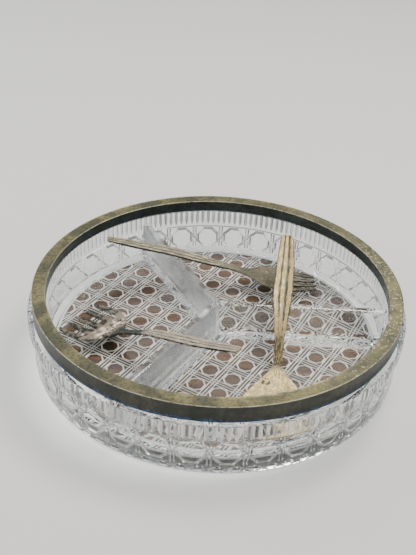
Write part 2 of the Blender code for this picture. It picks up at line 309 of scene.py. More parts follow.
def to_mesh(bm, name, smooth=True, sharp=32.0):
    bmesh.ops.recalc_face_normals(bm, faces=bm.faces)
    mesh = bpy.data.meshes.new(name)
    bm.to_mesh(mesh)
    bm.free()
    if smooth:
        mesh.polygons.foreach_set("use_smooth", [True] * len(mesh.polygons))
        mesh.set_sharp_from_angle(angle=math.radians(sharp))
    return mesh


def rounded(points, radius, steps=3):
    """Rounds the corners of an (r, z) path; points hold (r, z) or (r, z, own radius)."""
    out = []
    for i, point in enumerate(points):
        here = Vector(point[:2])
        size = point[2] if len(point) > 2 else radius
        if size <= 0.0 or i in (0, len(points) - 1):
            out.append(here)
            continue
        before = Vector(points[i - 1][:2]) - here
        after = Vector(points[i + 1][:2]) - here
        reach = min(size, before.length * 0.45, after.length * 0.45)
        a, b = here + before.normalized() * reach, here + after.normalized() * reach
        for k in range(steps + 1):
            t = k / steps
            out.append(a * (1 - t) ** 2 + here * 2 * t * (1 - t) + b * t * t)
    return out


def turned(name, path, segments, closed=False, lift=STAND):
    """A body of revolution; an open path starts and ends on the axis."""
    bm = bmesh.new()
    rings = []
    for r, z in path:
        if r < 1e-6:
            rings.append([bm.verts.new((0.0, 0.0, (z + lift) * MM))])
            continue
        ring = []
        for k in range(segments):
            a = math.tau * k / segments
            ring.append(bm.verts.new((r * MM * math.cos(a), r * MM * math.sin(a), (z + lift) * MM)))
        rings.append(ring)
    pairs = list(zip(rings, rings[1:])) + ([(rings[-1], rings[0])] if closed else [])
    for upper, lower in pairs:
        for k in range(segments):
            n = (k + 1) % segments
            if len(upper) == 1:
                bm.faces.new((upper[0], lower[k], lower[n]))
            elif len(lower) == 1:
                bm.faces.new((upper[k], lower[0], upper[n]))
            else:
                bm.faces.new((upper[k], lower[k], lower[n], upper[n]))
    return to_mesh(bm, name)


def baked(obj):
    """Replaces the object's mesh with its evaluated one and drops the modifiers."""
    graph = bpy.context.evaluated_depsgraph_get()
    mesh = bpy.data.meshes.new_from_object(obj.evaluated_get(graph))
    obj.modifiers.clear()
    old = obj.data
    obj.data = mesh
    bpy.data.meshes.remove(old)
    return obj


def join_or_cut(obj, tool, operation):
    mod = obj.modifiers.new(operation, "BOOLEAN")
    mod.operation = operation
    mod.solver = SOLVER
    mod.object = tool
    before = len(obj.data.polygons)
    baked(obj)
    if len(obj.data.polygons) < before // 2:
        raise RuntimeError(f"{tool.name} spoiled {obj.name}")
    bpy.data.objects.remove(tool, do_unlink=True)


# ---- geometry node trees ----
def geometry_tree(name, inputs):
    tree = bpy.data.node_groups.new(name, "GeometryNodeTree")
    tree.is_modifier = True
    for label, kind, default in inputs:
        socket = tree.interface.new_socket(name=label, in_out="INPUT", socket_type=kind)
        if default is not None:
            socket.default_value = default
    tree.interface.new_socket(name="Geometry", in_out="OUTPUT", socket_type="NodeSocketGeometry")
    return tree, tree.nodes.new("NodeGroupInput").outputs, tree.nodes.new("NodeGroupOutput").inputs


def turn_about_z(tree, angle):
    about = add(tree, "ShaderNodeCombineXYZ", {"Z": angle}).outputs[0]
    return add(tree, "FunctionNodeEulerToRotation", {0: about}).outputs[0]


def finish_tree(tree, given, result, points, **instance):
    """Puts the item on the points, turns the lot if asked, and makes painted meshes of it."""
    item = add(tree, "GeometryNodeObjectInfo", {"Object": given["Item"]})
    geometry = add(tree, "GeometryNodeInstanceOnPoints", {
        "Points": points, "Instance": item.outputs["Geometry"], **instance}).outputs[0]
    if "Turn" in given:
        geometry = add(tree, "GeometryNodeTransform", {
            "Geometry": geometry, "Rotation": turn_about_z(tree, given["Turn"])}).outputs[0]
    real = add(tree, "GeometryNodeRealizeInstances", {"Geometry": geometry})
    painted = add(tree, "GeometryNodeSetMaterial", {"Geometry": real.outputs[0],
                                                    "Material": given["Material"]})
    tree.links.new(painted.outputs[0], result["Geometry"])
    return tree


ITEM = (("Item", "NodeSocketObject", None), ("Material", "NodeSocketMaterial", None))


def round_axis_tree():
    """Copies an item round the Z axis."""
    if "copies_round_axis" in bpy.data.node_groups:
        return bpy.data.node_groups["copies_round_axis"]
    tree, given, result = geometry_tree("copies_round_axis", ITEM + (
        ("Count", "NodeSocketInt", 36), ("Start", NUMBER, 0.0)))
    line = add(tree, "GeometryNodeMeshLine", {"Count": given["Count"], "Offset": (0.0, 0.0, 0.0)})
    index = add(tree, "GeometryNodeInputIndex").outputs[0]
    turn = math_node(tree, "DIVIDE", math_node(tree, "MULTIPLY", index, math.tau), given["Count"])
    angle = math_node(tree, "ADD", turn, given["Start"])
    return finish_tree(tree, given, result, line.outputs[0], Rotation=turn_about_z(tree, angle))


def lattice_tree():
    """Copies an item on a turned square lattice, inside a circle."""
    if "copies_on_lattice" in bpy.data.node_groups:
        return bpy.data.node_groups["copies_on_lattice"]
    tree, given, result = geometry_tree("copies_on_lattice", ITEM + (
        ("Pitch", NUMBER, 0.018), ("Rows", "NodeSocketInt", 13),
        ("Radius", NUMBER, 0.1), ("Turn", NUMBER, 0.0)))
    side = math_node(tree, "MULTIPLY", math_node(tree, "SUBTRACT", given["Rows"], 1.0), given["Pitch"])
    grid = add(tree, "GeometryNodeMeshGrid", {"Size X": side, "Size Y": side,
                                              "Vertices X": given["Rows"], "Vertices Y": given["Rows"]})
    reach = add(tree, "ShaderNodeVectorMath", {0: add(tree, "GeometryNodeInputPosition").outputs[0]},
                operation="LENGTH").outputs["Value"]
    far = math_node(tree, "GREATER_THAN", reach, given["Radius"])
    kept = add(tree, "GeometryNodeDeleteGeometry", {"Geometry": grid.outputs[0], "Selection": far})
    return finish_tree(tree, given, result, kept.outputs[0])


def chords_tree():
    """Copies a bar of unit length on parallel rows, each as long as the circle is there."""
    if "chords" in bpy.data.node_groups:
        return bpy.data.node_groups["chords"]
    tree, given, result = geometry_tree("chords", ITEM + (
        ("Pitch", NUMBER, 0.018), ("Rows", "NodeSocketInt", 12),
        ("Radius", NUMBER, 0.1), ("Turn", NUMBER, 0.0),
        ("Shift", NUMBER, 0.0)))
    line = add(tree, "GeometryNodeMeshLine", {"Count": given["Rows"], "Offset": (0.0, 0.0, 0.0)})
    index = add(tree, "GeometryNodeInputIndex").outputs[0]
    middle = math_node(tree, "MULTIPLY", math_node(tree, "SUBTRACT", given["Rows"], 1.0), 0.5)
    across = math_node(tree, "ADD", math_node(
        tree, "MULTIPLY", math_node(tree, "SUBTRACT", index, middle), given["Pitch"]), given["Shift"])
    moved = add(tree, "GeometryNodeSetPosition", {
        "Geometry": line.outputs[0],
        "Position": add(tree, "ShaderNodeCombineXYZ", {"Y": across}).outputs[0]})
    rest = math_node(tree, "SUBTRACT", math_node(tree, "POWER", given["Radius"], 2.0),
                     math_node(tree, "POWER", math_node(tree, "ABSOLUTE", across), 2.0))
    half = math_node(tree, "SQRT", math_node(tree, "MAXIMUM", rest, 0.000004))
    size = add(tree, "ShaderNodeCombineXYZ", {"X": math_node(tree, "MULTIPLY", half, 2.0),
                                              "Y": 1.0, "Z": 1.0})
    return finish_tree(tree, given, result, moved.outputs[0], Scale=size.outputs[0])


def repeated(name, tree, item, **values):
    """A plain mesh object of the tree's copies of the item, which is removed."""
    made = place(name, bpy.data.meshes.new(name))
    mod = made.modifiers.new("copies", "NODES")
    mod.node_group = tree
    sockets = {s.name: s.identifier for s in tree.interface.items_tree if s.in_out == "INPUT"}
    mod[sockets["Item"]] = item
    for key, value in values.items():
        mod[sockets[key]] = value
    baked(made)
    bpy.data.objects.remove(item, do_unlink=True)
    return made


# ---- the glass ----
def wedge(name, ends, width, depth, out=PROUD):
    """A V bar between two points of the plane, its edge at depth below the surface."""
    (x0, y0), (x1, y1) = ends
    along = Vector((x1 - x0, y1 - y0)).normalized()
    side = Vector((-along.y, along.x))
    half = width / 2 * (depth + out) / depth
    bm = bmesh.new()
    rows = []
    for x, y in ((x0, y0), (x1, y1)):
        centre = Vector((x, y))
        rows.append([bm.verts.new((*(centre - side * half), -out)),
                     bm.verts.new((*(centre + side * half), -out)),
                     bm.verts.new((*centre, depth))])
    a, b = rows
    bm.faces.new(a)
    bm.faces.new(reversed(b))
    for i in range(3):
        j = (i + 1) % 3
        bm.faces.new((a[i], b[i], b[j], a[j]))
    return to_mesh(bm, name, smooth=False)


def octagon_groove(name, apothem, width, depth):
    """A V groove round an octagon."""
    half = width / 2 * (depth + PROUD) / depth
    bm = bmesh.new()
    rings = []
    for reach, z in ((apothem + half, -PROUD), (apothem, depth), (apothem - half, -PROUD)):
        ring = []
        for k in range(8):
            a = math.tau * (k + 0.5) / 8
            r = reach / math.cos(math.pi / 8)
            ring.append(bm.verts.new((r * math.cos(a), r * math.sin(a), z)))
        rings.append(ring)
    for i in range(3):
        one, two = rings[i], rings[(i + 1) % 3]
        for k in range(8):
            n = (k + 1) % 8
            bm.faces.new((one[k], two[k], two[n], one[n]))
    return to_mesh(bm, name, smooth=False)


def scaled(mesh, lift):
    """From millimetres to metres, lifted."""
    mesh.transform(Matrix.Translation((0, 0, lift * MM)) @ Matrix.Scale(MM, 4))
    return mesh


def wrapped(mesh, radius, middle):
    """Wraps a flat tool (x along the wall, y up, z into the glass) on the wall at +X."""
    for v in mesh.vertices:
        a = v.co.x / radius
        r = (radius - v.co.z) * MM
        v.co = Vector((r * math.cos(a), r * math.sin(a), (middle + v.co.y + STAND) * MM))
    bm = bmesh.new()
    bm.from_mesh(mesh)
    bmesh.ops.recalc_face_normals(bm, faces=bm.faces)
    bm.to_mesh(mesh)
    bm.free()
    return mesh


def tray_blank():
    path = [(0.0, FLOOR_TOP), (112.0, FLOOR_TOP)]
    path += rounded(((113.0, FLOOR_TOP), (117.3, FLOOR_TOP, 3.6), (118.5, 47.8, 0.5),
                     (118.5, 52.2, 0.8), (126.1, 52.2, 0.8), (126.1, 43.5, 0.2), (130.3, 43.5, 0.7),
                     (130.3, 34.6, 1.0), (129.2, 31.2, 0.8), (129.2, 29.9, 0.5), (127.6, 29.0, 0.5),
                     (127.3, 8.6, 0.6), (127.0, 3.6, 1.6), (124.6, 0.0, 1.6), (115.6, 0.0, 0.6),
                     (114.5, 1.0, 0.5), (113.5, FLOOR_UNDER, 0.4), (112.9, FLOOR_UNDER)), 0.6)
    path += [(r, FLOOR_UNDER) for r in (101.0, 88.0, 75.0, 62.0, 49.0, 36.0, 23.0, 10.0, 0.0)]
    return turned("glass_tray", path, 360)


def divider_bar():
    """One drafted, soft-edged divider along +X."""
    side = ((1.2, 41.0), (2.2, 40.7), (2.6, 39.8), (3.5, 28.0), (4.3, 18.0), (5.1, 15.9),
            (6.3, 14.7), (6.6, 13.9))
    section = list(side) + [(-y, z) for y, z in reversed(side)]
    bm = bmesh.new()
    rows = []
    for x in (-0.5, 116.0, 121.0):
        rows.append([bm.verts.new((x * MM, y * MM, (z + STAND) * MM)) for y, z in section])
    bm.faces.new(rows[0])
    bm.faces.new(reversed(rows[-1]))
    for one, two in zip(rows, rows[1:]):
        for k in range(len(section)):
            n = (k + 1) % len(section)
            bm.faces.new((one[k], two[k], two[n], one[n]))
    return to_mesh(bm, "divider", smooth=False)


def glass_finish(p, normal):
    """Which finish a face has: 0 clear, 1 frosted with painted shade, 2 floor groove, 3 wall facet, 4 flute;
    2 to 4 are partly white for painted highlights.
    """
    r, z = math.hypot(p.x, p.y), p.z - STAND
    if FLOOR_UNDER + 0.03 < z < FLOOR_UNDER + 1.2 and r < 112.95:
        return 2
    outward = (normal.x * p.x + normal.y * p.y) / max(r, 1e-6)
    if r > 124.0 and 2.0 < z < 29.6 and outward < 0.97 and r < WALL_R - 0.05:
        return 3
    if 31.2 < z < 43.3 and r > 128.0 and outward < 0.95 and abs(normal.z) < 0.8:
        return 4
    # finish 1, the grey frosted glass with painted shade, goes on the two dividers off the +X axis
    near = min((abs(p.x * math.sin(a) - p.y * math.cos(a))
                for a in (math.tau / 3, 2 * math.tau / 3)
                if p.x * math.cos(a) + p.y * math.sin(a) > -1.0), default=99.0)
    if 15.0 < z < 41.5 and near < 6.5 and r < 117.6 and abs(normal.z) < 0.9:
        return 1
    return 0


class LAZYSUSAN_OT_glass(bpy.types.Operator):
    """Turns the glass tray, joins its dividers and cuts its ribs and cane pattern"""
    bl_idname = "lazysusan.glass"
    bl_label = "Glass tray"

    def execute(self, context):
        settings = context.scene.lazysusan_tray
        clear = glass_material("clear_pressed_glass", 0.01, 0.04, tuple(settings.tint))
        # The two left dividers get a grey frosted copy of the glass; its grey tint is painted shade, and the
        # divider along +X stays clear.
        frosted = glass_material("frosted_divider_painted_shade", 0.08, 0.30, (0.66, 0.68, 0.69), 0.08, 0.88, 70.0)
        # The groove, flute and facet glass is partly opaque and near white, a painted highlight for the
        # bright lines of the cuts.
        cut = glass_material("cut_glass_painted_highlight", 0.10, 0.22, (0.93, 0.93, 0.89), 0.05, 0.30)
        flute = glass_material("flute_glass_painted_highlight", 0.03, 0.09, (0.93, 0.94, 0.94), 0.03, 0.66)
        facet = glass_material("facet_glass_painted_highlight", 0.01, 0.05, (0.93, 0.95, 0.95), 0.03, 0.86)
        tray = place("glass_tray", tray_blank(), (clear, frosted, cut, facet, flute))
        for turn in range(3):
            bar = place("divider", divider_bar())
            bar.data.transform(Matrix.Rotation(math.tau * turn / 3, 4, "Z"))
            join_or_cut(tray, bar, "UNION")

        def round_cut(tool, count, start=0.0):
            item = place("tool", tool)
            join_or_cut(tray, repeated("tools", round_axis_tree(), item, Count=count,
                                       Start=start), "DIFFERENCE")

        # flutes between the ribs
        step = math.tau / settings.rib_count
        round_cut(wrapped(wedge("flute", ((0.0, -6.2), (0.0, 5.4)), 2.6, 1.5, out=0.6), RIB_R, 37.6),
                  settings.rib_count, step / 2)
        # cane row: octagon, pairs of upright bars and the crossing between cells
        cell = math.tau / settings.cell_count
        wide = WALL_R * cell / 2
        round_cut(wrapped(octagon_groove("wall_button", CANE_BUTTON, 1.9, 1.3), WALL_R, CANE_MIDDLE),
                  settings.cell_count, cell / 2)
        for shift in (-1.1, 1.1):
            upright = wedge("upright", ((shift, -9.6), (shift, 9.6)), 0.9, 0.7)
            round_cut(wrapped(upright, WALL_R, CANE_MIDDLE), settings.cell_count)
        reach = wide - CANE_BUTTON * 0.98
        for flip in (-1.0, 1.0):
            ends = ((-reach, -flip * 3.2), (reach, flip * 3.2))
            round_cut(wrapped(wedge("crossing", ends, 1.2, 0.9), WALL_R, CANE_MIDDLE),
                      settings.cell_count)
        # small crosses round the foot
        for flip in (-1.0, 1.0):
            ends = ((-5.2, -flip * 2.9), (5.2, flip * 2.9))
            round_cut(wrapped(wedge("foot_cross", ends, 1.3, 0.5), WALL_R - 0.2, 5.4),
                      2 * settings.cell_count)
        # floor: a button in each square, then straps in two directions
        pitch, radius = settings.lattice_pitch, 0.1118
        groove, deep = settings.groove / MM, settings.groove_depth / MM
        ring = scaled(octagon_groove("floor_button", settings.button / MM, 1.15, 0.8),
                      FLOOR_UNDER + STAND)
        buttons = repeated("buttons", lattice_tree(), place("ring", ring), Pitch=pitch, Rows=15,
                           Radius=radius + 0.0062, Turn=settings.lattice_turn)
        limit = turned("limit", ((0.0, 12.0), (112.4, 12.0), (112.4, 7.0), (0.0, 7.0)), 180)
        join_or_cut(buttons, place("limit", limit), "INTERSECT")
        join_or_cut(tray, buttons, "DIFFERENCE")
        # the two directions differ a little in depth, so no two groove bottoms coincide
        for turn, bite in ((settings.lattice_turn, deep),
                           (settings.lattice_turn + math.pi / 2, deep * 0.93)):
            for shift in (-STRAP_SHIFT, 0.0, STRAP_SHIFT):
                bar = scaled(wedge("strap", ((-500.0, 0.0), (500.0, 0.0)), groove, bite), 0.0)
                bar.transform(Matrix.Translation((0, 0, (FLOOR_UNDER + STAND) * MM)))
                join_or_cut(tray, repeated("straps", chords_tree(), place("bar", bar), Pitch=pitch,
                                           Rows=12, Radius=radius, Turn=turn, Shift=shift),
                            "DIFFERENCE")
        mesh = tray.data
        mesh.polygons.foreach_set("use_smooth", [True] * len(mesh.polygons))
        for face in mesh.polygons:
            face.material_index = glass_finish(face.center / MM, face.normal)
        mesh.set_sharp_from_angle(angle=math.radians(22))
        # the broad flat faces would work as lenses if they were shaded smooth
        for face in mesh.polygons:
            if face.area > FLAT_FACE * MM * MM:
                face.use_smooth = False
        finish_piece(tray, "tray", "clear_pressed_glass", "glass_dish")
        return {"FINISHED"}


# ---- rim and bedding ----
def paint(mesh, name, value_of):
    layer = mesh.attributes.new(name, "FLOAT", "POINT")
    layer.data.foreach_set("value", [value_of(v.co / MM) for v in mesh.vertices])


def skirt(r, start, end, rings=8):
    return [(r, start + (end - start) * k / (rings - 1), 0.0) for k in range(rings)]


class LAZYSUSAN_OT_rim(bpy.types.Operator):
    """Spins the folded metal rim and gives its bedding a finish"""
    bl_idname = "lazysusan.rim"
    bl_label = "Metal rim"

    def execute(self, context):
        settings = context.scene.lazysusan_metal
        path = rounded(((122.0, 55.7), (126.1, 55.75, 0.3), (126.45, 56.0, 0.2), (127.0, 55.8, 0.4),
                        *skirt(127.0, 54.6, 45.2), (127.0, 44.4, 0.2), (126.8, 43.8, 0.2), (126.4, 43.8, 0.2),
                        (126.4, 55.35), (118.2, 55.35), (118.2, 47.8, 0.2), (117.6, 47.8, 0.2),
                        *skirt(117.6, 48.6, 54.6), (117.6, 55.6, 0.4),
                        (118.0, 56.0, 0.2), (118.5, 55.75, 0.3), (120.2, 55.7, 0.1), (121.9, 55.7)), 0.3)
        mesh = turned("silvered_rim", path, 288, closed=True)
        top = tarnished("rim_top_tarnish", tuple(settings.rim_top), tuple(settings.rim_gold),
                        (0.035, 0.033, 0.022), 0.55, 55.0, 420.0, 0.9, 0.9, 0.45, (0.50, 0.46, 0.30))
        # the last colour here is the painted bluish reflection on the skirt's lower edge
        outer = tarnished("rim_side_tarnish", tuple(settings.rim_side), (0.075, 0.076, 0.055),
                          (0.014, 0.016, 0.013), 0.6, 40.0, 500.0, 0.8, 0.5, 0.3, (0.06, 0.11, 0.22))
        inner = tarnished("rim_inner_tarnish", (0.035, 0.045, 0.042), (0.07, 0.085, 0.085),
                          (0.010, 0.012, 0.012), 0.6, 30.0, 400.0, 0.8, 0.5, 0.25, (0.16, 0.19, 0.20))
        rim = place("silvered_rim", mesh, (top, outer, inner))
        for face in mesh.polygons:
            x, y, z = face.center / MM
            r = math.hypot(x, y)
            face.material_index = 0 if z > 57.0 else (1 if r > 122.0 else 2)

        # Painted highlight: the rim's top is lighter on its right half, towards the key light, and along thin
        # lines on its two rolled edges. The outer skirt gets a painted bluish reflection along its lower
        # edge, and the inner skirt is lighter along its lower edge.
        def wear_and_highlight(p):
            r, z = math.hypot(p.x, p.y), p.z - STAND
            if z > 55.4:
                return max(0.46 * p.x / r, 1 - abs(r - 126.9) / 0.5, 1 - abs(r - 117.8) / 0.4)
            if r > 122.0:
                return max(0.0, 1 - (z - 43.8) / 4.5)
            return max(0.0, 1 - (z - 47.8) / 0.9) * 0.7
        paint(mesh, "wear_and_highlight", wear_and_highlight)
        finish_piece(rim, "tray", "tarnished_silver_rim", "rim_band")
        paint_node("rim_bedding", speckled("plaster", 0.0, 0.9, (0.50, 0.46, 0.38),
                                           (0.72, 0.69, 0.62), 400.0, 0.4))
        return {"FINISHED"}


def paint_node(name, item):
    """Gives a kept CAD node its finish."""
    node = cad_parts[name]
    node.data.materials.clear()
    node.data.materials.append(item)


# ---- swivel ----
class LAZYSUSAN_OT_swivel(bpy.types.Operator):
    """Makes the turning disc, fixed plate, race balls and feet, and gives the cage, rivet, washer and grip
    ring their finishes
    """
    bl_idname = "lazysusan.swivel"
    bl_label = "Swivel"

    def execute(self, context):
        enamel = speckled("brown_enamel", 0.0, 0.4, (0.032, 0.013, 0.005), (0.125, 0.055, 0.021),
                          26.0, 0.15, 6.0, 0.6, (0.35, 0.68), (1.0, 5.0, 1.0))
        path = rounded(((11.0, 9.3), (11.0, 10.6), (111.6, 10.6), (111.6, 8.7), (62.2, 8.7),
                        (61.1, 9.3), (58.9, 9.3), (57.8, 8.7), (3.3, 8.7), (3.3, 9.3)), 0.25, 2)
        disc = place("turning_disc", turned("turning_disc", path, 180, closed=True,
                                            lift=0.0), (enamel,))
        finish_piece(disc, "tray", "brown_enamelled_steel", "turntable_disc")

        zinc, tree, shader = new_material("zinc_plate", 1.0, 0.35)
        spangle = add(tree, "ShaderNodeTexVoronoi", {"Scale": 160.0, "Vector": object_vector(tree)})
        tone = mix(tree, spangle.outputs["Distance"], (0.40, 0.41, 0.43), (0.62, 0.63, 0.64))
        tree.links.new(tone, shader.inputs["Base Color"])
        scuff = noise_node(tree, object_vector(tree), 90.0, 6.0)
        tree.links.new(ramp(tree, scuff.outputs["Fac"], ((0.3, 0.26), (0.7, 0.5))),
                       shader.inputs["Roughness"])
        bump(tree, shader, spangle.outputs["Distance"], 0.08)
        path = rounded(((3.3, 5.2), (57.8, 5.2), (58.9, 4.6), (61.1, 4.6), (62.2, 5.2), (76.0, 5.2),
                        (76.0, 3.6), (50.0, 3.6), (49.0, 3.9), (40.0, 3.9), (39.0, 3.6), (3.3, 3.6)),
                       0.3, 2)
        plate = place("fixed_plate", turned("fixed_plate", path, 144, closed=True,
                                            lift=0.0), (zinc,))
        finish_piece(plate, "base", "zinc_plated_steel", "swivel_lower_plate")

        steel, tree, shader = new_material("ball_steel", 1.0, 0.1, (0.72, 0.73, 0.75))
        oil = noise_node(tree, object_vector(tree), 700.0)
        tree.links.new(ramp(tree, oil.outputs["Fac"], ((0.3, 0.06), (0.7, 0.22))),
                       shader.inputs["Roughness"])
        bm = bmesh.new()
        bmesh.ops.create_icosphere(bm, subdivisions=3, radius=2.24 * MM)
        bmesh.ops.translate(bm, verts=bm.verts, vec=(60.0 * MM, 0.0, 6.95 * MM))
        balls = repeated("race_balls", round_axis_tree(), place("ball", to_mesh(bm, "ball", sharp=180.0)),
                         Count=BALL_COUNT, Material=steel)
        finish_piece(balls, "ball_ring", "ball_steel",
                     *[f"bearing_ball_{k + 1:02d}" for k in range(BALL_COUNT)])

        rubber = speckled("rubber", 0.0, 0.75, (0.020, 0.020, 0.020), (0.12, 0.11, 0.10),
                          500.0, 0.3, 6.0, 0.5, (0.45, 0.75))
        path = rounded(((0.0, 3.3), (7.2, 3.3), (8.0, 2.4), (8.0, 0.0), (4.4, 0.0), (3.8, 0.5),
                        (0.0, 0.5)), 0.5, 3)
        pad = turned("foot", path, 40, lift=0.0)
        pad.transform(Matrix.Translation((66.0 * MM, 0, 0)))
        feet = repeated("rubber_feet", round_axis_tree(), place("foot", pad), Count=4,
                        Start=math.pi / 4, Material=rubber)
        finish_piece(feet, "base", "rubber", *[f"rubber_foot_{k}" for k in range(1, 5)])

        for name, base, rough, metallic in (
                ("ball_cage", (0.78, 0.76, 0.70), 0.45, 0.0), ("centre_rivet", (0.5, 0.5, 0.5), 0.35, 1.0),
                ("rivet_washer", (0.08, 0.08, 0.08), 0.5, 0.0), ("grip_ring", (0.80, 0.80, 0.77), 0.4, 0.0)):
            dim = tuple(channel * 0.7 for channel in base)
            paint_node(name, speckled(name + "_finish", metallic, rough, dim, base, 350.0, 0.12))
        return {"FINISHED"}


def finish_piece(piece, body, slot, *nodes):
    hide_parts(*nodes)
    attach(piece, body)


# ---- servers ----
REAR_FORK = ((-84.0, 56.2, 53.4, 3.7), (-60.0, 57.7, 48.6, 5.2), (-35.0, 59.2, 43.4, 5.8),
             (-14.0, 60.5, 37.2, 5.6), (7.0, 61.8, 31.0, 3.9), (20.0, 62.6, 26.6, 4.4),
             (30.0, 63.2, 23.4, 10.6), (38.0, 63.7, 21.2, 14.8), (52.0, 64.6, 18.4, 14.2),
             (75.0, 66.0, 16.2, 10.5))
WIDE_FORK = ((15.4, -77.5, 59.6, 3.9), (-9.0, -59.8, 49.8, 4.9), (-27.3, -46.6, 43.6, 5.1),
             (-44.0, -34.5, 36.9, 3.7), (-52.6, -28.3, 31.7, 2.7), (-64.0, -20.1, 25.3, 3.4),
             (-70.4, -15.4, 22.3, 12.0), (-76.8, -10.8, 20.2, 19.6), (-86.0, -4.1, 18.2, 22.5),
             (-100.0, 6.0, 16.3, 21.0))
SLICE = ((50.8, 73.6, 54.2, 4.8), (48.5, 40.0, 48.6, 6.6), (45.8, 8.0, 43.8, 7.0),
         (44.9, -4.0, 42.8, 6.2), (43.9, -22.6, 32.0, 3.6), (43.2, -35.0, 21.0, 3.2),
         (42.6, -42.0, 17.0, 4.0), (41.2, -68.0, 16.2, 19.4), (40.6, -79.0, 16.2, 23.0),
         (40.0, -90.0, 16.2, 17.6), (39.8, -97.0, 16.2, 7.0))
METAL = 1.6                # thickness of the sheet
STREAK = (0.16, 0.25, 0.02)  # draws the tarnish out along a server


def along(stations, steps):
    """Smooth rows through the stations: x, y, z, half width and how far along, in stations."""
    rows = []
    last = len(stations) - 1
    for span in range(last):
        four = [stations[min(max(span + k, 0), last)] for k in (-1, 0, 1, 2)]
        for step in range(steps):
            t = step / steps
            rows.append([0.5 * (2 * b + (c - a) * t + (2 * a - 5 * b + 4 * c - d) * t * t
                                + (3 * b - a - 3 * c + d) * t ** 3)
                         for a, b, c, d in zip(*four)] + [span + t])
    rows.append(list(stations[last]) + [float(last)])
    return rows


def strips(tines, share=1.7, fine=3):
    """Column places from -1 to 1, the tine that each belongs to, and that tine's middle."""
    if not tines:
        return [(-1.0 + 2.0 * k / 30, 0, 0.0) for k in range(31)]
    unit = 2.0 / (tines * share + tines - 1)
    columns = []
    for tine in range(tines):
        left = -1.0 + tine * unit * (share + 1.0)
        for k in range(fine + 1):
            columns.append((left + unit * share * k / fine, tine, left + unit * share / 2))
    return columns


def zone(s, start, full, last, end):
    """0 before start, 1 from full to last, 0 again after end."""
    return max(0.0, min(1.0, (s - start) / (full - start), (end - s) / (end - last)))


def server_blank(name, stations, steps, tines=0, slot_from=99.0, end_round=0.6, cup=0.0,
                 share=1.7):
    """A sheet blank: handle, neck and head, with slots between the tines and rounded ends."""
    rows = along(stations, steps)
    columns = strips(tines, share)
    last = rows[-1][4]
    bm = bmesh.new()
    trace = bm.verts.layers.float_vector.new("trace")
    grid = []
    for i, row in enumerate(rows):
        ahead, behind = rows[min(i + 1, len(rows) - 1)], rows[max(i - 1, 0)]
        heading = Vector((ahead[0] - behind[0], ahead[1] - behind[1], 0.0)).normalized()
        side = Vector((-heading.y, heading.x, 0.0))
        half = row[3]
        line = []
        for place_across, tine, middle in columns:
            across = place_across
            if row[4] < end_round:
                across *= math.sqrt(max(0.0, 1 - ((end_round - row[4]) / end_round) ** 2 * 0.55))
            if tines and row[4] > slot_from:
                t = (row[4] - slot_from) / (last - slot_from)
                across = middle + (across - middle) * (1 - 0.18 * t) * math.sqrt(max(0.05, 1 - t ** 7))
            point = Vector(row[:3]) + side * (across * half)
            point.z += cup * across * across * max(0.0, half - 7.0) / 8.0
            vert = bm.verts.new(point * MM + Vector((0, 0, STAND * MM)))
            vert[trace] = (row[4], across, half)
            line.append(vert)
        grid.append(line)
    for i in range(len(rows) - 1):
        for j in range(len(columns) - 1):
            gap = columns[j][1] != columns[j + 1][1]
            if gap and rows[i][4] >= slot_from - 1e-6:
                continue
            bm.faces.new((grid[i][j], grid[i + 1][j], grid[i + 1][j + 1], grid[i][j + 1]))
    bmesh.ops.recalc_face_normals(bm, faces=bm.faces)
    for face in bm.faces:
        if face.normal.z < 0:
            face.normal_flip()
    mesh = bpy.data.meshes.new(name)
    bm.to_mesh(mesh)
    bm.free()
    return mesh


def server(name, stations, items, shape, texture, **blank):
    """Thickens and smooths a blank, then works its relief.

    Shape gives, for a place on the server, its height, how dark it is and how bright.
    """
    obj = place(name, server_blank(name, stations, 14, **blank), items)
    sheet = obj.modifiers.new("sheet", "SOLIDIFY")
    sheet.thickness = METAL * MM
    sheet.offset = 0.0
    soft = obj.modifiers.new("soft", "SUBSURF")
    soft.levels = soft.render_levels = 1
    baked(obj)
    mesh = obj.data
    trace = mesh.attributes["trace"].data
    dark, bright = [], []
    normals = [v.normal.copy() for v in mesh.vertices]
    for v, item, normal in zip(mesh.vertices, trace, normals):
        s, across = item.vector[:2]
        lift, shade, shine = shape(s, across, v.co / MM)
        if normal.z < 0.2:
            lift, shine = 0.0, shine * 0.3
        v.co += normal * (lift + texture(v.co / MM)) * MM
        dark.append(min(1.0, max(0.0, shade)))
        bright.append(min(1.0, max(0.0, shine)))
    # dark holds patina and painted shade, bright holds wear and painted highlights
    for label, values in (("patina_and_shade", dark), ("wear_and_highlight", bright)):
        mesh.attributes.new(label, "FLOAT", "POINT").data.foreach_set("value", values)
    mesh.polygons.foreach_set("use_smooth", [True] * len(mesh.polygons))
    return obj


def reeds(across, count, depth):
    """Height and shade of the grooves that run down a handle."""
    wave = 0.5 + 0.5 * math.cos(across * math.pi * count)
    return -depth * (1.0 - wave) ** 2, max(0.0, 1.0 - wave * 2.0)


def crust_of(scale, amount, seed):
    """Height of a lumpy crust of tarnish, as a function of the place."""
    def height(p):
        return amount * noise.fractal(p * scale + Vector((seed, seed, seed)), 1.0, 2.0, 4)
    return height


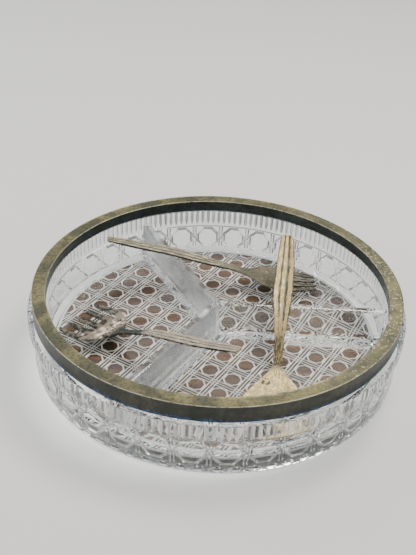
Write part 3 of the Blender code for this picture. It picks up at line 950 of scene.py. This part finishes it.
class LAZYSUSAN_OT_servers(bpy.types.Operator):
    """Makes the rear fork, the wide fork and the slice"""
    bl_idname = "lazysusan.servers"
    bl_label = "Servers"

    def execute(self, context):
        settings = context.scene.lazysusan_metal

        def rear_shape(s, across, p):
            handle = zone(s, -1.0, -0.5, 3.4, 4.6)
            lift, shade = reeds(across, 3.0, 0.5)
            head = zone(s, 5.2, 6.2, 8.0, 9.5)
            return (lift * handle, 0.16 + shade * handle * 0.75 + zone(s, 7.6, 8.6, 20.0, 21.0) * 0.55
                    + zone(s, 4.4, 5.0, 5.6, 6.4) * 0.3 + max(0.0, abs(across) - 0.86) * 3.0 * handle,
                    0.56 * handle * (1.0 - shade) + 0.30 * head)

        olive = tarnished("olive_tarnish", tuple(settings.olive), (0.24, 0.21, 0.135),
                          (0.030, 0.028, 0.020), 0.35, 5.0, 24.0, 0.8, 0.75, 0.8,
                          (0.60, 0.54, 0.36), STREAK)
        rear = server("relish_fork", REAR_FORK, (olive,), rear_shape, crust_of(0.55, 0.3, 3.0),
                      tines=4, slot_from=8.0, cup=1.2, share=2.4)
        finish_piece(rear, "rear_relish_fork", "tarnished_silver_olive", "rear_fork")

        def wide_shape(s, across, p):
            handle = zone(s, -1.0, -0.5, 2.9, 3.6)
            lift, shade = reeds(across, 3.0, 0.45)
            band = zone(s, 5.6, 6.2, 7.0, 7.5)
            swirl = 1.5 * noise.noise(p * 0.33) + 0.6 * noise.noise(p * 0.8)
            # Painted highlight on the pale crust of the shoulder band, and painted shade on the tines, which
            # curve down to the floor; the dark neck and the dark between the crust's lumps are tarnish.
            return (lift * handle + band * (0.5 + 0.9 * swirl),
                    0.12 + shade * handle * 0.6 + zone(s, 3.0, 3.8, 5.4, 6.4) * 0.9
                    + band * max(0.0, -swirl) * 0.9 + zone(s, 7.3, 7.7, 20.0, 21.0) * 0.62,
                    0.5 * handle * (1.0 - shade) + 0.85 * band * max(0.0, 0.55 + swirl))

        pale = tarnished("pinkish_crust", (0.33, 0.27, 0.20), (0.46, 0.39, 0.29), (0.020, 0.026, 0.018),
                         0.3, 5.0, 24.0, 0.8, 0.7, 0.8, (0.80, 0.66, 0.49), STREAK)
        wide = server("wide_tined_fork", WIDE_FORK, (pale,), wide_shape, crust_of(0.5, 0.36, 9.0),
                      tines=5, slot_from=7.36, cup=0.8, share=1.7)
        finish_piece(wide, "wide_serving_fork", "tarnished_silver_cream", "wide_fork")

        def slice_shape(s, across, p):
            handle = zone(s, -1.0, -0.5, 3.2, 4.2)
            lift, shade = reeds(across, 3.0, 0.55)
            turn = Vector((p.x - 34.0, p.y + 56.0))
            scroll = 0.0
            if turn.length < 7.5:
                spiral = math.sin(turn.length * 1.5 - math.atan2(turn.y, turn.x))
                scroll = spiral * (1 - turn.length / 7.5)
            border = zone(s, 6.2, 6.5, 20.0, 21.0) * max(0.0, abs(across) - 0.88) * 6.0
            side = zone(across, -0.2, 0.2, 0.7, 1.1)
            return (lift * handle + 1.1 * max(0.0, scroll) + 0.3 * border,
                    0.16 + shade * handle * 0.8 + max(0.0, -scroll) * 1.6 + side * handle * 0.22
                    + zone(s, 3.7, 4.2, 5.7, 6.5) * 0.6,
                    0.6 * handle * (1.0 - shade) * (1.0 - 0.5 * side)
                    + 0.62 * zone(s, 5.7, 6.3, 20.0, 21.0))

        cream = tarnished("cream_crust", tuple(settings.cream), (0.52, 0.37, 0.15),
                          (0.050, 0.048, 0.022), 0.0, 5.0, 24.0, 0.8, 0.7, 0.6,
                          (1.0, 0.78, 0.36), STREAK)
        cake = server("slice_blade", SLICE, (cream,), slice_shape, crust_of(0.5, 0.4, 21.0), end_round=0.3)
        finish_piece(cake, "slice", "tarnished_silver_pale", "slice_server")
        return {"FINISHED"}


# ---- stage ----
CAMERA_PLACE = (0.0, -0.5244, 0.4089)
CAMERA_DOWN = 37.841
CAMERA_PAN = 0.6529
CAMERA_TILT = 4.3727
CAMERA_ROLL = -3.065
CAMERA_LENS = 59.37


def turn_camera(camera):
    down = math.radians(CAMERA_DOWN)
    ahead = Vector((0.0, math.cos(down), -math.sin(down)))
    right = Vector((1.0, 0.0, 0.0))
    up = right.cross(ahead)
    pan = Matrix.Rotation(math.radians(CAMERA_PAN), 3, up)
    ahead, right = pan @ ahead, pan @ right
    tilt = Matrix.Rotation(math.radians(CAMERA_TILT), 3, right)
    ahead, up = tilt @ ahead, tilt @ up
    roll = Matrix.Rotation(math.radians(CAMERA_ROLL), 3, ahead)
    right, up = roll @ right, roll @ up
    camera.matrix_world = Matrix((right, up, -ahead)).transposed().to_4x4()
    camera.location = CAMERA_PLACE


def area_light(name, place_at, aim, size, power, tone=(1.0, 1.0, 1.0)):
    data = bpy.data.lights.new(name, "AREA")
    data.shape = "RECTANGLE"
    data.size, data.size_y = size
    data.energy = power
    data.color = tone
    made = bpy.data.objects.new(name, data)
    bpy.context.scene.collection.objects.link(made)
    made.location = place_at
    made.rotation_euler = (Vector(aim) - Vector(place_at)).to_track_quat("-Z", "Y").to_euler()


class LAZYSUSAN_OT_stage(bpy.types.Operator):
    """Lays the floor and sets the lights and the camera"""
    bl_idname = "lazysusan.stage"
    bl_label = "Stage"

    def execute(self, context):
        settings = context.scene.lazysusan_stage
        bm = bmesh.new()
        bmesh.ops.create_grid(bm, x_segments=2, y_segments=2, size=3.0)
        ground = new_material("pale_floor", 0.0, 0.7, tuple(settings.floor))[0]
        floor = place("floor", to_mesh(bm, "floor", smooth=False), (ground,))
        floor.location.z = -0.0002
        world = bpy.data.worlds.new("studio")
        context.scene.world = world
        world.use_nodes = True
        back = world.node_tree.nodes["Background"]
        sky = world.node_tree
        way = add(sky, "ShaderNodeSeparateXYZ", {0: add(sky, "ShaderNodeTexCoord").outputs["Generated"]})
        tone = ramp(sky, way.outputs["Z"], ((0.0, (0.26, 0.26, 0.27)), (0.35, (0.32, 0.33, 0.35)),
                                            (1.0, (1.0, 1.0, 1.0))))
        sky.links.new(tone, back.inputs[0])
        back.inputs[1].default_value = settings.sky
        area_light("key", (0.45, 0.35, 1.25), (0.0, 0.0, 0.0), (0.7, 0.5), settings.key,
                   (1.0, 0.98, 0.95))
        area_light("fill", (-1.1, -0.3, 0.9), (0.0, 0.0, 0.03), (0.8, 0.8), settings.key * 0.35)
        area_light("sparkle", (-0.9, 0.55, 0.8), (0.0, 0.0, 0.03), (0.9, 0.9), settings.key * 0.4,
                   (0.86, 0.93, 1.0))
        camera = bpy.data.objects.new("camera", bpy.data.cameras.new("camera"))
        context.scene.collection.objects.link(camera)
        camera.data.sensor_width = 36.0
        camera.data.lens = CAMERA_LENS
        camera.data.clip_start = 0.01
        turn_camera(camera)
        context.scene.camera = camera
        return {"FINISHED"}


class LAZYSUSAN_PT_panel(bpy.types.Panel):
    """Shows the settings and the build buttons"""
    bl_idname = "LAZYSUSAN_PT_panel"
    bl_label = "Lazy Susan"
    bl_space_type = "VIEW_3D"
    bl_region_type = "UI"
    bl_category = "Lazy Susan"

    def draw(self, context):
        for group_name in GROUPS:
            box = self.layout.box()
            props = getattr(context.scene, group_name)
            for key in props.__annotations__:
                box.prop(props, key)
        for operator in OPERATORS:
            self.layout.operator(operator.bl_idname)


GROUPS = {"lazysusan_tray": TrayProperties, "lazysusan_metal": MetalProperties,
          "lazysusan_stage": StageProperties}
OPERATORS = (LAZYSUSAN_OT_stage, LAZYSUSAN_OT_glass, LAZYSUSAN_OT_rim, LAZYSUSAN_OT_swivel,
             LAZYSUSAN_OT_servers)


def register():
    for item in (*GROUPS.values(), *OPERATORS, LAZYSUSAN_PT_panel):
        bpy.utils.register_class(item)
    for name, item in GROUPS.items():
        setattr(bpy.types.Scene, name, bpy.props.PointerProperty(type=item))


def unregister():
    for name in GROUPS:
        delattr(bpy.types.Scene, name)
    for item in reversed((*GROUPS.values(), *OPERATORS, LAZYSUSAN_PT_panel)):
        bpy.utils.unregister_class(item)


def main():
    register()
    for operator in OPERATORS:
        family, name = operator.bl_idname.split(".")
        getattr(getattr(bpy.ops, family), name)()
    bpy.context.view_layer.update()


if __name__ == "__main__":
    main()
